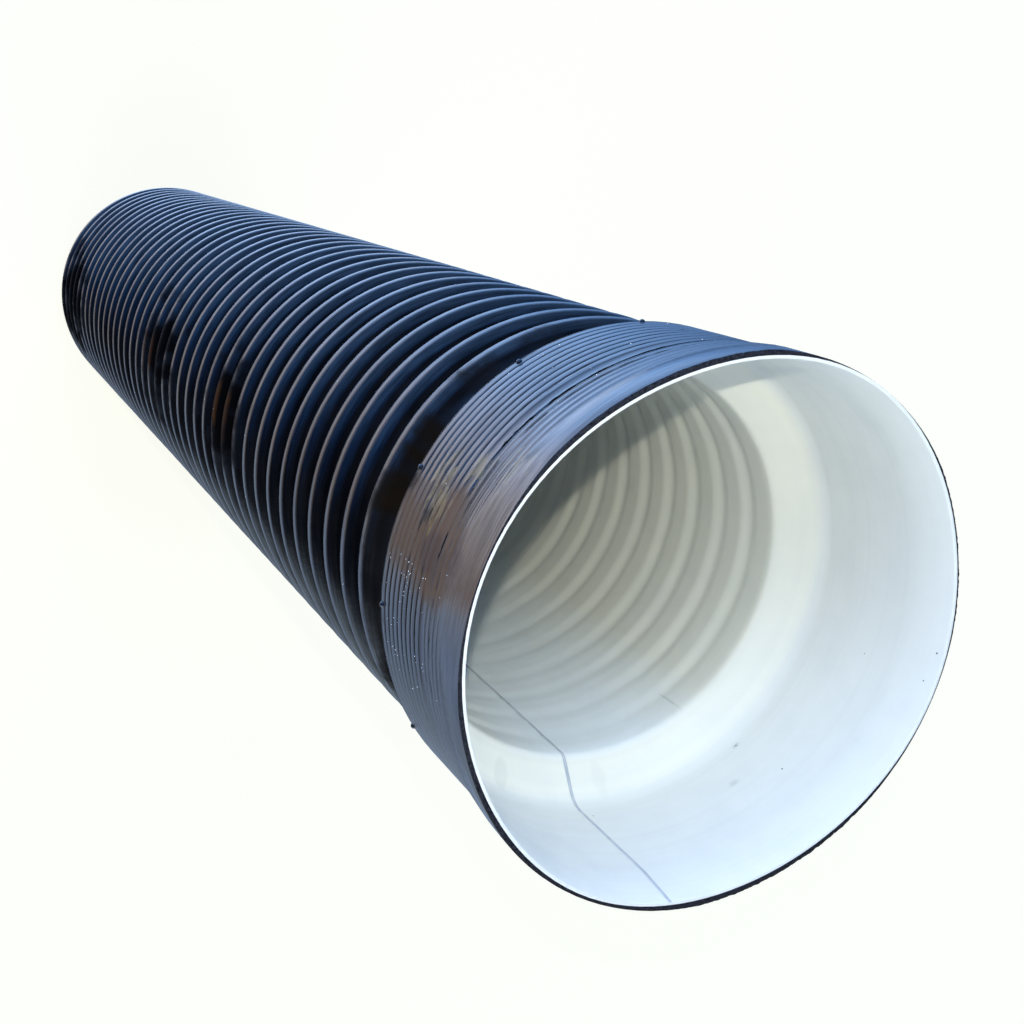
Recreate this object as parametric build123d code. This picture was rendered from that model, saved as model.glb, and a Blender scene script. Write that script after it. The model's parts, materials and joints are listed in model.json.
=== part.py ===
"""Twin-wall corrugated drain pipe with an in-line belled socket, standing on its sawn end.

The pipe's axis is the Z axis, with the sawn end on the floor at Z = 0 and the socket's mouth at the top.
A black corrugated wall is bonded to a white liner in every valley, on the cone behind the socket and
along the socket. Sizes are in millimetres.
"""

import os
from math import radians, sin, tan

from build123d import *

# Barrel
outside_diameter = 630.0    # over the crests
corrugation_height = 38.0   # from the bottom of a valley to the top of a crest
corrugations = 38
pitch = 70.0                # from crest to crest
crest_width = 30.0          # top of a crest, before rounding
valley_width = 24.0         # bottom of a valley, before rounding
crest_round = 14.0
valley_round = 6.0
end_valley = 12.0           # the pipe is sawn through a valley, this far past its last crest

# Walls
liner_wall = 4.0            # white liner
crest_wall = 4.0            # black wall on top of a crest
flank_wall = 3.6            # black wall on the side of a crest
valley_wall = 5.0           # black wall in a valley and on the cone
bell_wall = 3.5             # black wall of the socket
lip_wall = 5.5              # black wall of the socket's lip
pocket_round = 10.0         # inside corners of a hollow crest
wave_height = 3.0           # how far the liner stands out under a crest, before rounding
wave_round = 90.0

# Socket
socket_clearance = 2.0      # radial room between a crest and the socket
socket_depth = 292.0        # from the mouth to the edge of the bore
cone_angle = 44.0           # slope of the cone behind the socket, from the pipe's axis
shoulder_round = 45.0       # liner, where the socket turns into the cone
foot_round = 6.0            # black wall, where the cone turns into the first valley
bell_back_round = 5.0
first_valley_width = 30.0
lead_in_length = 60.0       # the liner widens towards the mouth
lead_in_rise = 5.0
lead_in_round = 120.0
lip_length = 35.0           # full thickness of the lip
flare_length = 75.0         # from the lip down to the plain socket
flare_round = 60.0
lip_round = 1.5
end_round = 0.8             # the sawn end's edges are barely broken
shortest_side = 0.001       # roundings that meet leave no straight side between them

# Radii from the axis
crest_radius = outside_diameter / 2
valley_radius = crest_radius - corrugation_height
bond_radius = valley_radius - valley_wall
bore_radius = bond_radius - liner_wall
socket_radius = crest_radius + socket_clearance
bell_radius = socket_radius + liner_wall + bell_wall
mouth_radius = socket_radius + lead_in_rise
lip_radius = mouth_radius + liner_wall + lip_wall
pocket_radius = crest_radius - crest_wall

# Depths from the mouth. A wall that is parallel to the liner turns later by its distance times corner_shift.
corner_shift = tan(radians(cone_angle) / 2)
cone_slope = tan(radians(cone_angle))
shoulder_depth = socket_depth - (socket_radius - bore_radius) / cone_slope
foot_depth = socket_depth + (liner_wall + valley_wall) * corner_shift
bell_back_depth = foot_depth - (bell_radius - valley_radius) / cone_slope
base_width = pitch - valley_width
first_crest_depth = foot_depth + first_valley_width + base_width / 2
crest_depths = [first_crest_depth + pitch * index for index in range(corrugations)]
overall_length = crest_depths[-1] + base_width / 2 + end_valley

# Half widths of a hollow crest's pocket. Its sides are parallel to the crest's own sides.
flank_lean = (base_width - crest_width) / 2 / corrugation_height
flank_shift = flank_wall * (1 + flank_lean ** 2) ** 0.5
pocket_top_half = crest_width / 2 + crest_wall * flank_lean - flank_shift
pocket_base_half = crest_width / 2 + (crest_radius - bond_radius) * flank_lean - flank_shift


def at(depth, radius):
    """Point of the profile, from its depth behind the mouth and its radius from the axis."""
    return Vector(radius, 0, overall_length - depth)


def turned(corners):
    """Solid turned about the pipe's axis from corners of (depth, radius, rounding).

    A rounding takes at most half of the shorter side that it lies between.
    """
    points = [at(depth, radius) for depth, radius, rounding in corners]
    edges = []
    starts = []
    ends = []
    for index, (depth, radius, rounding) in enumerate(corners):
        corner = points[index]
        back = points[index - 1] - corner
        ahead = points[(index + 1) % len(points)] - corner
        half_angle = radians(back.get_angle(ahead)) / 2
        room = min(back.length, ahead.length) / 2
        tangent = min(rounding / tan(half_angle), room)
        starts.append(corner + back.normalized() * tangent)
        ends.append(corner + ahead.normalized() * tangent)
        if rounding > 0:
            inward = (back.normalized() + ahead.normalized()).normalized()
            arc_radius = tangent * tan(half_angle)
            middle = corner + inward * (arc_radius / sin(half_angle) - arc_radius)
            edges.append(ThreePointArc(starts[index], middle, ends[index]))
    for index, start in enumerate(starts):
        if (start - ends[index - 1]).length > shortest_side:
            edges.append(Line(ends[index - 1], start))
    return revolve(make_face(edges), Axis.Z)


def bond_line():
    """Where the two walls meet in the socket and on the cone, from the first valley out to the mouth."""
    return [
        (socket_depth + liner_wall * corner_shift, bond_radius, foot_round + valley_wall),
        (shoulder_depth + liner_wall * corner_shift, socket_radius + liner_wall, shoulder_round + liner_wall),
        (lead_in_length, socket_radius + liner_wall, lead_in_round),
        (0, mouth_radius + liner_wall, 0),
    ]


def outer_wall():
    """Black wall: its outside from the lip to the sawn end, then its inside back to the mouth."""
    outside = [
        (0, lip_radius, lip_round),
        (lip_length, lip_radius, flare_round),
        (lip_length + flare_length, bell_radius, flare_round),
        (bell_back_depth, bell_radius, bell_back_round),
        (foot_depth, valley_radius, foot_round),
    ]
    inside = []
    for depth in crest_depths:
        outside += [
            (depth - base_width / 2, valley_radius, valley_round),
            (depth - crest_width / 2, crest_radius, crest_round),
            (depth + crest_width / 2, crest_radius, crest_round),
            (depth + base_width / 2, valley_radius, valley_round),
        ]
        inside += [
            (depth - pocket_base_half, bond_radius, 0),
            (depth - pocket_top_half, pocket_radius, pocket_round),
            (depth + pocket_top_half, pocket_radius, pocket_round),
            (depth + pocket_base_half, bond_radius, 0),
        ]
    sawn_end = [
        (overall_length, valley_radius, end_round),
        (overall_length, bond_radius, 0),
    ]
    return turned(outside + sawn_end + inside[::-1] + bond_line())


def inner_liner():
    """White liner: its inside from the mouth to the sawn end, then its bonded side back to the mouth."""
    inside = [
        (0, mouth_radius, lip_round),
        (lead_in_length, socket_radius, lead_in_round),
        (shoulder_depth, socket_radius, shoulder_round),
        (socket_depth, bore_radius, foot_round + valley_wall + liner_wall),
    ]
    bonded = []
    for depth in crest_depths:
        inside += wave(depth, bore_radius, wave_round)
        bonded += wave(depth, bond_radius, 0)
    sawn_end = [
        (overall_length, bore_radius, end_round),
        (overall_length, bond_radius, 0),
    ]
    return turned(inside + sawn_end + bonded[::-1] + bond_line())


def wave(depth, radius, foot_rounding):
    """Low wave of the liner in the pocket of the crest at this depth."""
    return [
        (depth - pocket_base_half, radius, foot_rounding),
        (depth, radius + wave_height, wave_round),
        (depth + pocket_base_half, radius, foot_rounding),
    ]


os.makedirs("parts", exist_ok=True)
export_step(outer_wall(), "parts/outer_wall.step")
export_step(inner_liner(), "parts/inner_liner.step")
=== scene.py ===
"""Looks of a twin-wall corrugated drain pipe that stands on its sawn end, mouth up.

The pipe's axis is the Z axis. Places on it are a depth below the mouth, a radius from the axis and a turn
about the axis, from +Y towards +X. Lengths are in metres. Finishes and stains count in mm and degrees.
"""

import json
from math import cos, pi, radians, sin, tan

import bpy
import numpy as np
from mathutils import Matrix, Vector


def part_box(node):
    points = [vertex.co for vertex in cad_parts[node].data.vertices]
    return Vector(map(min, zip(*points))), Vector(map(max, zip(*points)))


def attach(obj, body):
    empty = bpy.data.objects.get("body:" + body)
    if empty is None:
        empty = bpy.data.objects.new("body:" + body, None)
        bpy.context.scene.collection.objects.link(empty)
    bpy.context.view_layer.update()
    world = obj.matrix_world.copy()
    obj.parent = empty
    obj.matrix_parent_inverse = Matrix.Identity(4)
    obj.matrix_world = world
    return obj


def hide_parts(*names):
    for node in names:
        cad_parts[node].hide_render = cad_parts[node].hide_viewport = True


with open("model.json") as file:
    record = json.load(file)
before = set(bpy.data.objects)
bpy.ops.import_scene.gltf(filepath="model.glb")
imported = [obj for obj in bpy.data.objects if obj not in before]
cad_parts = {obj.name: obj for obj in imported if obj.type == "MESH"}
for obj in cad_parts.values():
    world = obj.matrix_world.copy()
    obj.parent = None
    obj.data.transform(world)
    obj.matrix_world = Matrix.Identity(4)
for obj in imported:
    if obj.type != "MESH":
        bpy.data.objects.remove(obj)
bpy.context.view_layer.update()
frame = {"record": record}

mm = 0.001
mounts = {mount["name"]: mount for mount in frame["record"]["mounts"]}

# Sizes from the frame
pipe_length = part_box("outer_wall")[1].z
lip_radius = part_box("outer_wall")[1].x
crest_radius = mounts["spigot"]["dims"]["r_mm"] * mm
bore_radius = mounts["pipe_bore"]["dims"]["r_mm"] * mm
socket_radius = mounts["socket"]["dims"]["r_mm"] * mm

# Barrel
corrugations = 38
pitch = 70 * mm
corrugation_height = 38 * mm
crest_width = 30 * mm
valley_width = 24 * mm
crest_round = 14 * mm
valley_round = 6 * mm
barrel_middle = pipe_length - mounts["spigot"]["pos_m"][2]
first_crest = barrel_middle - (corrugations - 1) * pitch / 2

# Walls
liner_wall = 4 * mm
valley_wall = 5 * mm
bell_wall = 3.5 * mm
wave_height = 3.4 * mm
wave_half = 22 * mm         # from the top of a wave to its foot; the liner is flat between the waves
wave_points = 13
wave_filled = 0.75          # share of the waves that a film fills along the bottom of the bore
wave_film = (-0.97, -0.78)  # Y as a share of the radius, from where the film is thickest to where it ends

# Socket
socket_depth = 292 * mm
cone_angle = radians(44)
shoulder_round = 45 * mm
foot_round = 6 * mm
bell_back_round = 4 * mm
lead_in_length = 60 * mm
lead_in_round = 120 * mm
lead_in_rise = 5 * mm
lip_length = 35 * mm
flare_length = 75 * mm
lip_round = 1.5 * mm
lip_edge_round = 2.6 * mm

# Ribs around the socket: fine ones at the back, one deep groove, then soft ones on the flare. A groove's
# shape has points of (share of its reach, share of its depth).
rib_pitch = 13.6 * mm
rib_count = 9
rib_depth = 1.0 * mm
rib_shape = ((0, 1), (0.08, 0.45), (0.18, 0.12), (0.36, 0), (0.64, 0), (0.82, 0.12), (0.92, 0.45))
deep_groove = 106 * mm
deep_groove_width = 5 * mm
deep_groove_depth = 3.2 * mm
deep_groove_shape = ((-1, 0), (0, 1), (1, 0))
mud_filled = 0.8            # share of the deep groove that mud fills on the left
mud_turns = (-60, -46)      # degrees, from where mud fills it to where it is open
soft_grooves = (48 * mm, 62 * mm, 76 * mm, 90 * mm)
soft_groove_width = 9 * mm
soft_groove_depth = 1.2 * mm
soft_groove_shape = ((-1, 0), (-0.5, 0.6), (0, 1), (0.5, 0.6), (1, 0))

# Derived radii and depths
valley_radius = crest_radius - corrugation_height
bond_radius = valley_radius - valley_wall
bell_radius = socket_radius + liner_wall + bell_wall
mouth_radius = socket_radius + lead_in_rise
edge_radius = mouth_radius + liner_wall
corner_shift = tan(cone_angle / 2)
shoulder_depth = socket_depth - (socket_radius - bore_radius) / tan(cone_angle)
foot_depth = socket_depth + (liner_wall + valley_wall) * corner_shift
bell_back = foot_depth - (bell_radius - valley_radius) / tan(cone_angle)
half_pitch = pitch / 2
base_half = (pitch - valley_width) / 2
crest_half = crest_width / 2
first_ring = first_crest - half_pitch

# The pipe was stored on its side and its mouth is out of round: share of the radius, waves around, phase
mouth_swell = ((0.0039, 1, 39), (0.0078, 2, 156), (0.0027, 3, 110), (0.0097, 4, 116))
swell_fade = 300 * mm
# The lip was sawn unevenly: its thickness, and how that changes around, in the same way
lip_mean = 5.6 * mm
lip_swell = ((1.5 * mm, 1, 180), (0.75 * mm, 1, -90), (1.8 * mm, 2, 0))
lip_limit = lip_radius - 0.4 * mm

# Seam down the liner, nibs around the back of the socket, ragged threads around the lip
seam_turn = radians(192)
seam_radius = 2.8 * mm
seam_sides = 12
seam_sink = 1.5 * mm
seam_follow = 0.15          # share of the waves that the seam follows
nib_count = 12
nib_turn = radians(-27)
nib_depth = 241 * mm
nib_radius = 4 * mm
nib_sink = 0.8 * mm
burr_points = 900
burr_radius = 0.75 * mm
burr_sides = 6
burr_swelling = 2.6
burr_reach = 1.8 * mm
burr_width = 5 * mm
burr_rings = ((1.5 * mm, lip_radius - 0.5 * mm), (1.0 * mm, edge_radius + 0.5 * mm))   # depth and radius

# Mesh fineness
segments = 112
arc_steps = 3
crest_steps = 4
flat_hold = 1.2 * mm
crease_angle = radians(50)
weld_distance = 0.02 * mm
facing_axis = -0.5          # a normal that points outwards by less than this faces the axis
evenness = {"Unevenness": 1.2 * mm, "Unevenness width": 160 * mm, "Seed": 3.0}

# Where finishes change. Depths, radii and distances are in mm.
lip_cut = (0.6, 1.8)        # depth, from the lip's sawn end to its outside
flare_finish = (45, 115)    # depth, from the flare to the plain socket
socket_finish = (240, 256)  # depth, from the socket to the barrel
crest_tops = (crest_radius / mm - 3.5, crest_radius / mm - 0.5)   # radius, from the flanks to the tops
liner_cone = (238, 252)     # depth, from the socket to the cone
liner_bore = (284, 296)     # depth, from the cone to the bore
bonded_rings = (20, 27)     # distance from a wave's top, from the wave to the bonded ring
bore_sky_tint = (-0.98, -0.78)  # Y as a share of the radius, from where the painted sky light is strongest to where it ends
dull_roughness = 0.75       # of every stain and painted mark, whatever it lies on


def linear(colour):
    """Linear RGBA of an sRGB hex colour."""
    parts = [int(colour[place:place + 2], 16) / 255 for place in (1, 3, 5)]
    return [part / 12.92 if part < 0.04045 else ((part + 0.055) / 1.055) ** 2.4 for part in parts] + [1]


def eased(share):
    """Share from 0 to 1 that starts and ends softly."""
    return share * share * (3 - 2 * share)


def swelling(turn, waves):
    """Sum of waves around the pipe, each of (height, number around, phase in degrees)."""
    return sum(height * np.cos(number * turn - radians(phase)) for height, number, phase in waves)


def add(tree, kind, inputs=None, **settings):
    """Adds a node. Its inputs are values or other nodes' outputs, by socket name or number."""
    node = tree.nodes.new(kind)
    for name, value in settings.items():
        setattr(node, name, value)
    for socket, value in (inputs or {}).items():
        if isinstance(value, bpy.types.NodeSocket):
            tree.links.new(value, node.inputs[socket])
        else:
            node.inputs[socket].default_value = value
    return node.outputs


def limits(start, end, low=0, high=1):
    """Inputs that turn values from start to end into values from low to high."""
    return {"From Min": start, "From Max": end, "To Min": low, "To Max": high}


def new_group(name, kind, inputs, outputs):
    """Node group with named sockets, and the outputs of its input node."""
    tree = bpy.data.node_groups.new(name, kind)
    for side, sockets in (("INPUT", inputs), ("OUTPUT", outputs)):
        for label, socket in sockets.items():
            tree.interface.new_socket(label, in_out=side, socket_type="NodeSocket" + socket)
    return tree, add(tree, "NodeGroupInput")


def rounded(corners, steps=arc_steps, hold=0):
    """Points of an open outline with corners of (depth, radius, rounding); its ends stay sharp.

    A point held back from each rounding, on both sides, keeps the straight sides flat when shaded smooth.
    """
    points = []
    for index, (depth, radius, rounding) in enumerate(corners):
        corner = Vector((depth, radius))
        if rounding == 0:
            points.append(corner)
            continue
        back = Vector(corners[index - 1][:2]) - corner
        ahead = Vector(corners[index + 1][:2]) - corner
        half_angle = back.angle(ahead) / 2
        tangent = min(rounding / tan(half_angle), back.length / 2, ahead.length / 2)
        inward = (back.normalized() + ahead.normalized()).normalized()
        centre = corner + inward * tangent / cos(half_angle)
        start = corner + back.normalized() * tangent - centre
        end = corner + ahead.normalized() * tangent - centre
        arc = [centre + start.length * start.slerp(end, step / steps) for step in range(steps + 1)]
        if hold:
            arc = [arc[0] + back.normalized() * hold] + arc + [arc[-1] + ahead.normalized() * hold]
        points += arc
    return points


def wave():
    """Points of the liner under one crest: its low, smooth wave and half of the flat on each side."""
    places = np.linspace(-half_pitch, half_pitch, wave_points)
    rise = eased(np.clip(1 - np.abs(places) / wave_half, 0, 1))
    return [Vector(point) for point in zip(places, bore_radius + wave_height * rise)]


def bond_line():
    """Corners of the line where the two walls meet, from the mouth to the first corrugation."""
    back_radius = socket_radius + liner_wall
    shift = liner_wall * corner_shift
    return [
        (0, edge_radius, 0),
        (lead_in_length, back_radius, lead_in_round),
        (shoulder_depth + shift, back_radius, shoulder_round + liner_wall),
        (socket_depth + shift, bond_radius, foot_round + valley_wall),
        (first_ring, bond_radius, 0),
    ]


def socket_line():
    """Corners of the liner's inside, from the mouth to the first corrugation."""
    return [
        (0, edge_radius, 0),
        (0, mouth_radius, lip_round),
        (lead_in_length, socket_radius, lead_in_round),
        (shoulder_depth, socket_radius, shoulder_round),
        (socket_depth, bore_radius, foot_round + valley_wall + liner_wall),
        (first_ring, bore_radius, 0),
    ]


def bell_at(depth, cut=0):
    """Point on the outside of the socket, cut into it by so much."""
    flare = (lip_length, lip_length + flare_length)
    return Vector((depth, np.interp(depth, flare, (lip_radius, bell_radius)) - cut))


def groove(middle, reach, cut, shape):
    """Points of a groove of this shape in the outside of the socket."""
    return [bell_at(middle + place * reach, cut * share) for place, share in shape]


def bell_line():
    """Points of the outside of the socket with its ribs, from the lip to its back edge."""
    points = [bell_at(lip_length / 2)]
    for middle in soft_grooves:
        points += groove(middle, soft_groove_width / 2, soft_groove_depth, soft_groove_shape)
    points += groove(deep_groove, deep_groove_width / 2, deep_groove_depth, deep_groove_shape)
    first_rib = bell_back - rib_count * rib_pitch
    for rib in range(rib_count):
        points += groove(first_rib + rib * rib_pitch, rib_pitch, rib_depth, rib_shape)
    return points


def black_wall_outlines():
    """Outlines of the black wall as (points, repeats on every corrugation)."""
    lip = rounded([
        (0, edge_radius, 0),
        (0, lip_radius, lip_edge_round),
        (lip_length / 2, lip_radius, 0),
    ])
    back = rounded([
        (bell_back - bell_back_round, bell_radius, 0),
        (bell_back, bell_radius, bell_back_round),
        (foot_depth, valley_radius, foot_round),
        (first_ring, valley_radius, 0),
    ])
    foot = rounded([
        (-half_pitch, valley_radius, 0),
        (-base_half, valley_radius, valley_round),
        (-crest_half, crest_radius, 0),
    ], 1)
    top = rounded([
        (-base_half, valley_radius, 0),
        (-crest_half, crest_radius, crest_round),
        (crest_half, crest_radius, 0),
    ], crest_steps, flat_hold)
    half = foot[:-1] + top[1:-1]
    corrugation = half + [Vector((-depth, radius)) for depth, radius in reversed(half)]
    sawn_end = [(pipe_length, valley_radius), (pipe_length, bond_radius), (first_ring, bond_radius)]
    return [
        (rounded(bond_line())[::-1] + lip[1:-1] + bell_line() + back[1:], False),
        (corrugation, True),
        (sawn_end, False),
    ]


def liner_outlines():
    """Outlines of the white liner as (points, repeats on every corrugation)."""
    sawn_end = [Vector((pipe_length, bond_radius)), Vector((pipe_length, bore_radius))]
    return [
        (rounded(bond_line()) + sawn_end, False),
        (wave()[::-1], True),
        (rounded(socket_line())[::-1], False),
    ]


def on_pipe(turn, depth, radius):
    """Point in the scene from its turn, depth and radius."""
    return Vector((radius * sin(turn), radius * cos(turn), pipe_length - depth))


def seam_path():
    """Points down the liner along its seam, which mostly bridges the waves and is sunk into the wall."""
    line = rounded(socket_line())[3:]
    for ring in range(corrugations):
        for place, radius in wave()[1:]:
            height = seam_follow * (radius - bore_radius)
            line.append(Vector((first_crest + ring * pitch + place, bore_radius + height)))
    return [on_pipe(seam_turn, depth, radius + seam_sink) for depth, radius in line]


def path_piece(name, paths):
    """Object whose edges follow lists of points. A list that ends where it starts is closed."""
    points, edges = [], []
    for path in paths:
        start = len(points)
        closed = path[0] == path[-1]
        points += path[:-1] if closed else path
        edges += [(index, index + 1) for index in range(start, len(points) - 1)]
        if closed:
            edges.append((len(points) - 1, start))
    return mesh_piece(name, points, edges)


def grain_piece(name, grains):
    """Object with a point for every grain of (turn in degrees, depth, radius on the pipe, size)."""
    places = [on_pipe(radians(turn), depth, radius) for turn, depth, radius, size in grains]
    piece = mesh_piece(name, places)
    sizes = piece.data.attributes.new("size", "FLOAT", "POINT")
    sizes.data.foreach_set("value", [size for turn, depth, radius, size in grains])
    return piece


def mesh_piece(name, points, edges=(), faces=()):
    """New object in the scene with these points."""
    mesh = bpy.data.meshes.new(name)
    mesh.from_pydata(points, edges, faces)
    piece = bpy.data.objects.new(name, mesh)
    bpy.context.scene.collection.objects.link(piece)
    return piece


def outline_piece(name, outlines):
    """Object whose edges are outlines of (radius, depth), marked where they repeat."""
    points, edges, repeats = [], [], []
    for outline, repeated in outlines:
        start = len(points)
        points += [(radius, depth, 0) for depth, radius in outline]
        edges += [(index, index + 1) for index in range(start, len(points) - 1)]
        repeats += [repeated] * len(outline)
    piece = mesh_piece(name, points, edges)
    piece.data.attributes.new("repeats", "BOOLEAN", "POINT").data.foreach_set("value", repeats)
    return piece


def grown(piece, tree, values):
    """Runs a Geometry Nodes tree on the piece and keeps the plain mesh that it makes."""
    modifier = piece.modifiers.new(tree.name, "NODES")
    modifier.node_group = tree
    for socket in tree.interface.items_tree:
        if socket.name in values:
            modifier[socket.identifier] = values[socket.name]
    bpy.context.view_layer.update()
    graph = bpy.context.evaluated_depsgraph_get()
    mesh = bpy.data.meshes.new_from_object(piece.evaluated_get(graph), depsgraph=graph)
    piece.modifiers.remove(modifier)
    piece.data = mesh
    return piece


def wandering(tree, width, seed, detail):
    """Outputs of a noise with features of this width, and its vector centred on 0."""
    fineness = add(tree, "ShaderNodeMath", {0: 1, 1: width}, operation="DIVIDE")
    noise = add(
        tree,
        "ShaderNodeTexNoise",
        {"W": seed, "Scale": fineness[0], "Detail": detail},
        noise_dimensions="4D",
    )
    middle = (0.5, 0.5, 0.5)
    centred = add(tree, "ShaderNodeVectorMath", {0: noise["Color"], 1: middle}, operation="SUBTRACT")
    return noise, centred[0]


def uneven_group():
    """Node group that moves points sideways a little, because extruded walls are never quite even."""
    tree, given = new_group(
        "Uneven wall",
        "GeometryNodeTree",
        {"Wall": "Geometry", "Unevenness": "Float", "Unevenness width": "Float", "Seed": "Float"},
        {"Wall": "Geometry"},
    )
    centred = wandering(tree, given["Unevenness width"], given["Seed"], 1)[1]
    sideways = add(tree, "ShaderNodeVectorMath", {0: centred, 1: (1, 1, 0)}, operation="MULTIPLY")
    shift = add(
        tree,
        "ShaderNodeVectorMath",
        {0: sideways[0], "Scale": given["Unevenness"]},
        operation="SCALE",
    )
    uneven = add(tree, "GeometryNodeSetPosition", {"Geometry": given["Wall"], "Offset": shift[0]})
    add(tree, "NodeGroupOutput", {"Wall": uneven[0]})
    return tree


def painted(tree, given, mesh, name):
    """Gives the mesh its material and hands it out of the tree under this name."""
    finished = add(tree, "GeometryNodeSetMaterial", {"Geometry": mesh, "Material": given["Material"]})
    add(tree, "NodeGroupOutput", {name: finished[0]})
    return tree


def turning_group():
    """Node group that turns an outline of (radius, depth) about the pipe's axis, from the mouth down."""
    tree, given = new_group(
        "Turn outline",
        "GeometryNodeTree",
        {"Outline": "Geometry", "Segments": "Int", "Radius": "Float"},
        {"Wall": "Geometry"},
    )
    inward = add(tree, "ShaderNodeMath", {0: given["Radius"], 1: -1}, operation="MULTIPLY")
    offset = add(tree, "ShaderNodeCombineXYZ", {"X": inward[0]})
    moved = add(tree, "GeometryNodeSetPosition", {"Geometry": given["Outline"], "Offset": offset[0]})
    profile = add(tree, "GeometryNodeMeshToCurve", {"Mesh": moved[0]})
    circle = add(
        tree,
        "GeometryNodeCurvePrimitiveCircle",
        {"Resolution": given["Segments"], "Radius": given["Radius"]},
    )
    wall = add(tree, "GeometryNodeCurveToMesh", {"Curve": circle[0], "Profile Curve": profile[0]})
    add(tree, "NodeGroupOutput", {"Wall": wall[0]})
    return tree


def wall_tree(uneven_wall):
    """Tree that turns a wall from its outlines and repeats one corrugation along the barrel."""
    tree, given = new_group(
        "Corrugated wall",
        "GeometryNodeTree",
        {
            "Outlines": "Geometry",
            "Segments": "Int",
            "Turning radius": "Float",
            "Corrugations": "Int",
            "Pitch": "Float",
            "First crest": "Float",
            "Mouth height": "Float",
            "Unevenness": "Float",
            "Unevenness width": "Float",
            "Seed": "Float",
            "Weld distance": "Float",
            "Material": "Material",
        },
        {"Wall": "Geometry"},
    )
    repeats = add(tree, "GeometryNodeInputNamedAttribute", {"Name": "repeats"}, data_type="BOOLEAN")
    parted = add(
        tree,
        "GeometryNodeSeparateGeometry",
        {"Geometry": given["Outlines"], "Selection": repeats["Attribute"]},
    )
    turn = turning_group()
    walls = []
    for outline in (parted["Selection"], parted["Inverted"]):
        sizes = {"Outline": outline, "Segments": given["Segments"], "Radius": given["Turning radius"]}
        walls.append(add(tree, "GeometryNodeGroup", sizes, node_tree=turn)[0])
    ring, ends = walls

    # One corrugation stands on every point of a line down the barrel
    start = add(tree, "ShaderNodeMath", {0: given["First crest"], 1: -1}, operation="MULTIPLY")
    step = add(tree, "ShaderNodeMath", {0: given["Pitch"], 1: -1}, operation="MULTIPLY")
    line = add(
        tree,
        "GeometryNodeMeshLine",
        {
            "Count": given["Corrugations"],
            "Start Location": add(tree, "ShaderNodeCombineXYZ", {"Z": start[0]})[0],
            "Offset": add(tree, "ShaderNodeCombineXYZ", {"Z": step[0]})[0],
        },
    )
    rings = add(tree, "GeometryNodeInstanceOnPoints", {"Points": line[0], "Instance": ring})
    joined = add(tree, "GeometryNodeJoinGeometry", {"Geometry": rings[0]})
    tree.links.new(ends, joined[0].node.inputs[0])
    real = add(tree, "GeometryNodeRealizeInstances", {"Geometry": joined[0]})
    welded = add(
        tree,
        "GeometryNodeMergeByDistance",
        {"Geometry": real[0], "Distance": given["Weld distance"]},
    )
    height = add(tree, "ShaderNodeCombineXYZ", {"Z": given["Mouth height"]})
    raised = add(tree, "GeometryNodeTransform", {"Geometry": welded[0], "Translation": height[0]})

    uneven = add(
        tree,
        "GeometryNodeGroup",
        {"Wall": raised[0], **{size: given[size] for size in evenness}},
        node_tree=uneven_wall,
    )
    smooth = add(tree, "GeometryNodeSetShadeSmooth", {"Geometry": uneven[0]})
    angle = add(tree, "GeometryNodeInputMeshEdgeAngle")
    sharp = add(
        tree,
        "FunctionNodeCompare",
        {0: angle["Unsigned Angle"], 1: crease_angle},
        operation="GREATER_THAN",
    )
    creased = add(
        tree,
        "GeometryNodeSetShadeSmooth",
        {"Geometry": smooth[0], "Selection": sharp[0], "Shade Smooth": False},
        domain="EDGE",
    )
    return painted(tree, given, creased[0], "Wall")


def bead_tree(uneven_wall):
    """Tree that runs a bead along paths. A ragged bead wanders and swells as it goes."""
    tree, given = new_group(
        "Bead along path",
        "GeometryNodeTree",
        {
            "Paths": "Geometry",
            "Bead radius": "Float",
            "Bead sides": "Int",
            "Reach": "Float",
            "Reach width": "Float",
            "Swelling": "Float",
            "Unevenness": "Float",
            "Unevenness width": "Float",
            "Seed": "Float",
            "Material": "Material",
        },
        {"Bead": "Geometry"},
    )
    noise, centred = wandering(tree, given["Reach width"], given["Seed"], 2)
    shift = add(tree, "ShaderNodeVectorMath", {0: centred, "Scale": given["Reach"]}, operation="SCALE")
    path = add(tree, "GeometryNodeMeshToCurve", {"Mesh": given["Paths"]})
    ragged = add(tree, "GeometryNodeSetPosition", {"Geometry": path[0], "Offset": shift[0]})
    odd = add(tree, "ShaderNodeMath", {0: noise["Fac"], 1: 0.5}, operation="SUBTRACT")
    swell = add(
        tree,
        "ShaderNodeMath",
        {0: odd[0], 1: given["Swelling"], 2: 1},
        operation="MULTIPLY_ADD",
    )
    profile = add(
        tree,
        "GeometryNodeCurvePrimitiveCircle",
        {"Resolution": given["Bead sides"], "Radius": given["Bead radius"]},
    )
    bead = add(
        tree,
        "GeometryNodeCurveToMesh",
        {"Curve": ragged[0], "Profile Curve": profile[0], "Scale": swell[0], "Fill Caps": True},
    )
    uneven = add(
        tree,
        "GeometryNodeGroup",
        {"Wall": bead[0], **{size: given[size] for size in evenness}},
        node_tree=uneven_wall,
    )
    real = add(tree, "GeometryNodeRealizeInstances", {"Geometry": uneven[0]})
    smooth = add(tree, "GeometryNodeSetShadeSmooth", {"Geometry": real[0]})
    return painted(tree, given, smooth[0], "Bead")


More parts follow.
